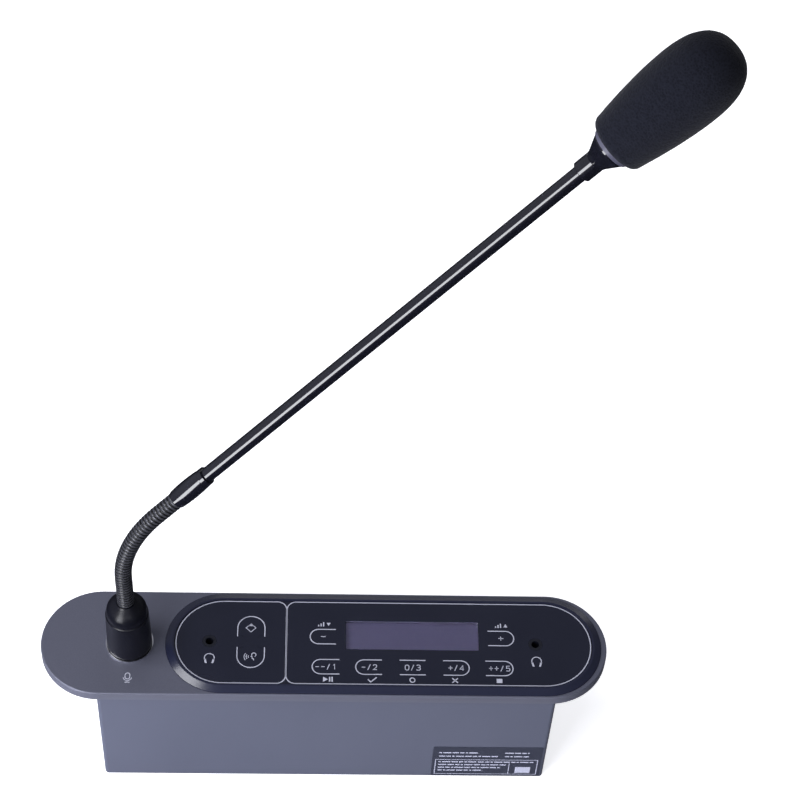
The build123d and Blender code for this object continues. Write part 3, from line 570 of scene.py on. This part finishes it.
def make_foam(material):
    rings = []
    for radius, t in foam_outline():
        ring = []
        for k in range(FOAM_SIDES):
            angle = 2 * math.pi * k / FOAM_SIDES
            ray = STEM_OUT * math.cos(angle) + STEM_SIDE * math.sin(angle)
            place = STEM_FOOT + STEM_ALONG * (FOAM_AT + t) + ray * radius
            lump = sum(noise.noise(place * scale) * height for scale, height in LUMPS)
            ring.append(place + (ray * LUMP_OUT + STEM_ALONG * LUMP_ALONG) * lump)
        rings.append(ring)
    foam = add_piece("foam_windscreen", *skin_of_rings(rings), material, "foam")
    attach(foam, "stem")
    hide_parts("windscreen")


# ---- printing: places and widths below are in millimetres ----
INK_RISE = 0.012
INK_THICK = 0.02
LINE = 0.45                    # widths of the printed lines
RING_LINE = 0.42
SIGN_LINE = 0.36
THIN = 0.34
FINE = 0.32
BOLD = 0.5
MITRE_LIMIT = 0.6              # keeps a sharp corner of a line from growing a spike
SHARP = 0.3                    # angle in radians over which an edge of the printing is sharp


class Drawing:
    """Thin printed shapes on a plane, gathered into one mesh."""

    def __init__(self, origin, u=(1, 0, 0), v=(0, 1, 0)):
        self.origin, self.u, self.v = Vector(origin), Vector(u), Vector(v)
        self.w = self.u.cross(self.v)
        self.verts, self.faces = [], []

    def put(self, x, y):
        base = self.origin + (self.u * x + self.v * y) * MM
        self.verts += [base + self.w * (INK_RISE - INK_THICK) * MM, base + self.w * INK_RISE * MM]
        return len(self.verts) - 2

    def fill(self, points):
        """A convex shape, its points anticlockwise."""
        ids = [self.put(*p) for p in points]
        self.faces += [tuple(i + 1 for i in ids), tuple(reversed(ids))]
        for a, b in zip(ids, ids[1:] + ids[:1]):
            self.faces.append((a, b, b + 1, a + 1))

    def stroke(self, points, width=LINE, closed=False, shift=0.0):
        """A line of some width along the points. A shift moves it to the right of its way."""
        count = len(points)
        pairs = []
        for k, point in enumerate(points):
            here = Vector(point)
            ways = []
            if k > 0 or closed:
                ways.append((here - Vector(points[k - 1])).normalized())
            if k < count - 1 or closed:
                ways.append((Vector(points[(k + 1) % count]) - here).normalized())
            way = sum(ways, Vector((0, 0))).normalized()
            right = Vector((way.y, -way.x)) / max(way.dot(ways[0]), MITRE_LIMIT)
            pairs.append((self.put(*(here - right * (width / 2 - shift))),
                          self.put(*(here + right * (width / 2 + shift)))))
        following = pairs[1:] + pairs[:1] if closed else pairs[1:]
        for (l0, r0), (l1, r1) in zip(pairs, following):
            self.faces += [(r0 + 1, r1 + 1, l1 + 1, l0 + 1), (l0, l1, r1, r0)]
            self.faces += [(r0, r1, r1 + 1, r0 + 1), (l1, l0, l0 + 1, l1 + 1)]
        if not closed:
            (l0, r0), (l1, r1) = pairs[0], pairs[-1]
            self.faces += [(l0, r0, r0 + 1, l0 + 1), (r1, l1, l1 + 1, r1 + 1)]

    def finish(self, name, material, body, slot="overlay_film"):
        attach(add_piece(name, self.verts, self.faces, material, slot, sharp=SHARP), body)


def arc(x, y, radius, start, end, steps=20):
    """Points on a circle from one angle to another, in degrees."""
    angles = [math.radians(start + (end - start) * k / steps) for k in range(steps + 1)]
    return [(x + radius * math.cos(a), y + radius * math.sin(a)) for a in angles]


def quarter(steps=12):
    """Angles of a quarter turn, in radians."""
    return [math.pi / 2 * k / steps for k in range(steps + 1)]


def box_points(x, y, width, height):
    """Corners of a rectangle about its middle."""
    w, h = width / 2, height / 2
    return [(x - w, y - h), (x + w, y - h), (x + w, y + h), (x - w, y + h)]


# Strokes of each letter in a cell one wide and one high
GLYPHS = {
    "0": [[(.5, 1), (.8, .94), (.92, .7), (.92, .3), (.8, .06), (.5, 0),
           (.2, .06), (.08, .3), (.08, .7), (.2, .94), (.46, 1)]],
    "1": [[(.3, .78), (.58, 1), (.58, 0)]],
    "2": [[(.1, .78), (.2, .95), (.5, 1), (.8, .95), (.9, .75), (.8, .5), (.1, .02), (.95, .02)]],
    "3": [[(.1, .9), (.3, 1), (.7, 1), (.9, .82), (.86, .6), (.6, .52), (.35, .52)],
          [(.6, .52), (.9, .42), (.94, .2), (.75, .02), (.3, 0), (.06, .12)]],
    "4": [[(.74, 0), (.74, 1), (.05, .3), (.98, .3)]],
    "5": [[(.9, .98), (.2, .98), (.14, .52), (.6, .6), (.9, .44), (.92, .18), (.7, 0), (.1, .05)]],
    "+": [[(.06, .5), (.94, .5)], [(.5, .1), (.5, .9)]],
    "-": [[(.1, .5), (.9, .5)]],
    "/": [[(.15, -.05), (.75, 1.05)]],
}
LETTER_HEIGHT = 2.6
LETTER_WIDTH = 1.95
LONE_SIGN_WIDTH = 2.6          # a plus or minus that stands alone
LETTER_GAP = 0.55


def write(drawing, text, x, y):
    """Text about a middle point."""
    width = LETTER_WIDTH if len(text) > 1 else LONE_SIGN_WIDTH
    left = x - (len(text) * (width + LETTER_GAP) - LETTER_GAP) / 2
    for k, letter in enumerate(text):
        start = left + k * (width + LETTER_GAP)
        for path in GLYPHS[letter]:
            drawing.stroke([(start + px * width, y + (py - 0.5) * LETTER_HEIGHT) for px, py in path], THIN)


# The fine lines on the pod: one closed line round the left panel and one round the right
PANEL_R = 21                   # round outer end, and half the panels' width
PANEL_ENDS = ((-1, -65.7), (1, 117.7))
PANEL_CORNER_R = 4.0
DIVIDER_X = -17.2              # where the two panels meet
PANEL_GAP = 0.1                # from the divider to each panel's line

OPEN_LEFT, OPEN_RIGHT = -1, 1
ROW_Y, ROW_R = -12.33, 3.67
KEY_OUTLINES = (
    # middle of the outline, its length, the radius of its round end and its open end
    (-1.0, 3.1, 11.4, 3.75, OPEN_RIGHT),
    (77.85, 3.1, 11.5, 3.75, OPEN_LEFT),
    (0.25, ROW_Y, 11.9, ROW_R, OPEN_RIGHT),
    (19.15, ROW_Y, 11.5, ROW_R, OPEN_RIGHT),
    (57.6, ROW_Y, 11.4, ROW_R, OPEN_LEFT),
    (76.55, ROW_Y, 12.1, ROW_R, OPEN_LEFT),
)
MIDDLE_KEY = (32.7, 44.1)      # left and right end of the lines over and under the middle key
TALL_KEY_X = -32.75
TALL_KEY_Y = 7.15              # centre of each tall key's round end, from the middle line
TALL_KEY_R = 6.0
TALL_KEY_FOOT = 2.8
HEADPHONE_MARKS = ((-50.8, -8.4), (93.2, -8.5))
LEVEL_SIGNS = ((-0.8, 9.5, -1), (78.0, 9.7, 1))    # place, and 1 for up
SIGN_Y = -18.7                 # the row of signs under the keys


def print_panel_line(d, side, end):
    round_end = arc(end - side * PANEL_R, 0, PANEL_R, 90, 90 - side * 180, 60)
    inner = DIVIDER_X + side * (PANEL_CORNER_R + PANEL_GAP)
    low_corner = [(inner - side * PANEL_CORNER_R * math.sin(a), PANEL_CORNER_R * (1 - math.cos(a)) - PANEL_R)
                  for a in quarter()]
    high_corner = [(x, -y) for x, y in reversed(low_corner)]
    d.stroke(round_end + low_corner + high_corner, closed=True)


def print_headphones(d, x, y):
    """A band with a slanted cup at each end."""
    d.stroke(arc(x, y, 2.15, 205, -25, 28), RING_LINE)
    half_cup, foot_y, top_y = 0.42, y - 2.7, y - 0.6
    for side in (-1, 1):
        foot, top = x + side * 1.4, x + side * 1.95
        d.fill([(foot - half_cup, foot_y), (foot + half_cup, foot_y),
                (top + half_cup, top_y), (top - half_cup, top_y)])


def print_key_outline(d, x, y, length, radius, open_end):
    """An outline with one round end, open at the other."""
    left, right = x - length / 2, x + length / 2
    if open_end == OPEN_RIGHT:
        d.stroke([(right, y + radius)] + arc(left + radius, y, radius, 90, 270) + [(right, y - radius)])
    else:
        d.stroke([(left, y - radius)] + arc(right - radius, y, radius, -90, 90) + [(left, y + radius)])


def print_tall_key(d, turn):
    """The outline of one tall key, whose round end is at the back for turn 1 and at the front for -1."""
    top = [(x, turn * y) for x, y in arc(TALL_KEY_X, TALL_KEY_Y, TALL_KEY_R, 180, 0, 30)]
    foot = turn * TALL_KEY_FOOT
    d.stroke([(TALL_KEY_X - TALL_KEY_R, foot)] + top + [(TALL_KEY_X + TALL_KEY_R, foot)])


def print_level_sign(d, x, y, turn):
    """Three rising bars and an arrow, for more or for less."""
    for k, tall in enumerate((0.8, 1.5, 2.2)):
        d.fill(box_points(x - 2.2 + 1.1 * k, y - 1.1 + tall / 2, 0.55, tall))
    tip = [(x + 1.3, y - turn * 0.8), (x + 3.1, y - turn * 0.8), (x + 2.2, y + turn * 0.9)]
    d.fill(tip if turn > 0 else tip[::-1])


def print_key_signs(d):
    """Under the keys 1 to 5: start and pause, tick, ring, cross and square."""
    d.fill([(-0.9, SIGN_Y - 1.25), (1.3, SIGN_Y), (-0.9, SIGN_Y + 1.25)])
    for x in (2.0, 3.1):
        d.fill(box_points(x, SIGN_Y, 0.6, 2.4))
    d.stroke([(18.7, SIGN_Y + 0.1), (20.0, SIGN_Y - 1.1), (22.6, SIGN_Y + 1.25)], BOLD)
    d.stroke(arc(38.2, SIGN_Y, 1.1, 0, 345, 24), RING_LINE, closed=True)
    cross_x, reach, rise = 56.9, 1.25, 1.15
    for turn in (-1, 1):
        d.stroke([(cross_x - reach, SIGN_Y - turn * rise), (cross_x + reach, SIGN_Y + turn * rise)], BOLD)
    d.fill(box_points(76.4, SIGN_Y, 2.5, 2.1))


def make_pod_print(white):
    d = Drawing((0, 0, Z_PRINT))
    for side, end in PANEL_ENDS:
        print_panel_line(d, side, end)
    for x, y in HEADPHONE_MARKS:
        print_headphones(d, x, y)
    for turn in (1, -1):
        print_tall_key(d, turn)
    for outline in KEY_OUTLINES:
        print_key_outline(d, *outline)
    for turn in (-1, 1):
        d.stroke([(x, ROW_Y + turn * ROW_R) for x in MIDDLE_KEY])
    for sign in LEVEL_SIGNS:
        print_level_sign(d, *sign)
    print_key_signs(d)
    d.finish("pod_print", white, "base")


def make_mic_sign(white):
    """A small microphone on the deck plate: a capsule in a cradle on a foot."""
    d = Drawing((NECK_FOOT.x, 0, Z_TOP))
    top, low, stand, foot = -17.0, -17.9, -19.7, -20.6
    d.stroke(arc(0, top, 1.05, 0, 180, 14) + arc(0, low, 1.05, 180, 360, 14), SIGN_LINE, closed=True)
    d.stroke(arc(0, low, 1.85, 190, 350, 16), THIN)
    d.stroke([(0, stand), (0, foot)], THIN)
    d.stroke([(-1.1, foot), (1.1, foot)], THIN)
    d.finish("mic_sign", white, "base", "deck_metal")


KEY_TEXTS = {
    "key_minus": "-", "key_plus": "+",
    "key_1": "--/1", "key_2": "-/2", "key_3": "0/3", "key_4": "+/4", "key_5": "++/5",
}
MODE_SIGN = (-32.9, 7.2)       # middle of each tall key's sign
TALK_SIGN = (-32.8, -7.4)
WAVE_LINE = 0.3


def make_key_prints(white):
    for key, text in KEY_TEXTS.items():
        low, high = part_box(key)
        d = Drawing((0, 0, high.z))
        write(d, text, (low.x + high.x) / 2 / MM, (low.y + high.y) / 2 / MM)
        d.finish(key + "_print", white, key, "key_plastic")


def make_mode_sign(white):
    """A diamond with its upper corner filled."""
    x, y = MODE_SIGN
    d = Drawing((x * MM, y * MM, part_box("key_mode")[1].z))
    d.stroke([(0, 2.1), (-2.2, 0), (0, -2.1), (2.2, 0)], FINE, closed=True)
    d.fill([(0, 2.1), (-1.2, 0.95), (1.2, 0.95)])
    d.finish("key_mode_print", white, "key_mode", "key_plastic")


def make_talk_sign(white):
    """A head in profile with three waves before it."""
    x, y = TALK_SIGN
    d = Drawing((x * MM, y * MM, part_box("key_talk")[1].z))
    d.stroke(arc(1.45, 0.75, 0.95, -70, 200, 16), SIGN_LINE)
    d.stroke([(0.55, 0.45), (0.25, -0.15), (0.75, -0.35), (0.7, -1.1), (1.3, -1.3), (1.5, -2.1)], THIN)
    for radius in (0.9, 1.8, 2.7):
        d.stroke(arc(-0.1, -0.25, radius, 140, 220, 10), WAVE_LINE)
    d.finish("key_talk_print", white, "key_talk", "key_plastic")


WEB_DEPTH = 0.3 * MM           # how far below a key's top its outline is taken
WEB_WIDTH = 0.34
WEB_SHIFT = 0.06


def outline_of(node):
    """The node's outline near its top, as a convex ring of points in millimetres."""
    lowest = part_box(node)[1].z - WEB_DEPTH
    near_top = [v.co for v in nodes[node].data.vertices if v.co.z > lowest]
    flat = sorted({(round(p.x / MM, 3), round(p.y / MM, 3)) for p in near_top})
    halves = []
    for points in (flat, flat[::-1]):
        half = []
        for x, y in points:
            while len(half) > 1:
                (x0, y0), (x1, y1) = half[-2:]
                if (x1 - x0) * (y - y0) - (y1 - y0) * (x - x0) > 1e-6:
                    break
                half.pop()
            half.append((x, y))
        halves.append(half[:-1])
    return halves[0] + halves[1]


def make_webs(film):
    """The film that bridges the fine gap round each key."""
    d = Drawing((0, 0, Z_PRINT))
    for key in [n for n in nodes if n.startswith("key_")]:
        d.stroke(outline_of(key), WEB_WIDTH, closed=True, shift=WEB_SHIFT)
    d.finish("key_webs", film, "base")


FRAME_LINE = 0.35
FRAME_MARGIN = 1.6
FRAME_SHARE = 0.56             # the frame's share of the label's height
CELL_WIDTH = 14.5              # blank field at the right of the frame, with its margin
BAR_HEIGHT = 0.9               # bars that stand for the small print
BAR_GAP = 0.55


def print_bars(d, row, y, start, end):
    """A row of bars of uneven length, in place of a line of small print."""
    x, step = start, 0
    while x < end:
        run = min(1.1 + 0.9 * ((step * 7 + row * 3) % 4), end - x)
        d.fill(box_points(x + run / 2, y, run, BAR_HEIGHT))
        x += run + BAR_GAP
        step += 1


def make_label_print(pale):
    low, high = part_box("info_label")
    width, tall = (high.x - low.x) / MM, (high.z - low.z) / MM
    d = Drawing(low, v=(0, 0, 1))
    top, cell, right = FRAME_SHARE * tall, width - CELL_WIDTH, width - FRAME_MARGIN
    corners = [(FRAME_MARGIN, FRAME_MARGIN), (right, FRAME_MARGIN), (right, top), (FRAME_MARGIN, top)]
    d.stroke(corners, FRAME_LINE, closed=True)
    d.stroke([(cell, FRAME_MARGIN), (cell, top - 3.2)], FINE)
    d.fill(box_points(width - 8.0, 5.6, 7.0, 5.4))
    left, second = 3.0, width * 0.66
    rows = (
        (top + 6.4, left, width * 0.42), (top + 6.4, second, width - 6),
        (top + 3.2, left, width * 0.60), (top + 3.2, second, width - 6),
        (top - 2.0, left, width - 3.5), (top - 4.6, left, cell - 1.5),
        (top - 7.2, left, cell - 4), (top - 9.8, left, cell - 12),
    )
    for row, (y, start, end) in enumerate(rows):
        print_bars(d, row, y, start, end)
    d.finish("label_print", pale, "base", "label_film")


def make_pieces():
    white = ink("ink_white", (0.50, 0.51, 0.60))
    make_pod_print(white)
    make_mic_sign(white)
    make_key_prints(white)
    make_mode_sign(white)
    make_talk_sign(white)
    make_webs(nodes["panel_overlay"].data.materials[0])
    make_label_print(ink("ink_pale", (0.34, 0.35, 0.45)))
    # The second steel is the first at 0.09 of its tone: painted shade for the grooves.
    make_neck(nodes["neck_root"].data.materials[0], neck_steel("neck_groove_painted_shade", 0.09))
    make_foam(nodes["windscreen"].data.materials[0])


bpy.context.scene.view_settings.view_transform = "Standard"
make_camera()
make_lights()
make_world()
make_floor()
paint_cad_nodes()
make_pieces()
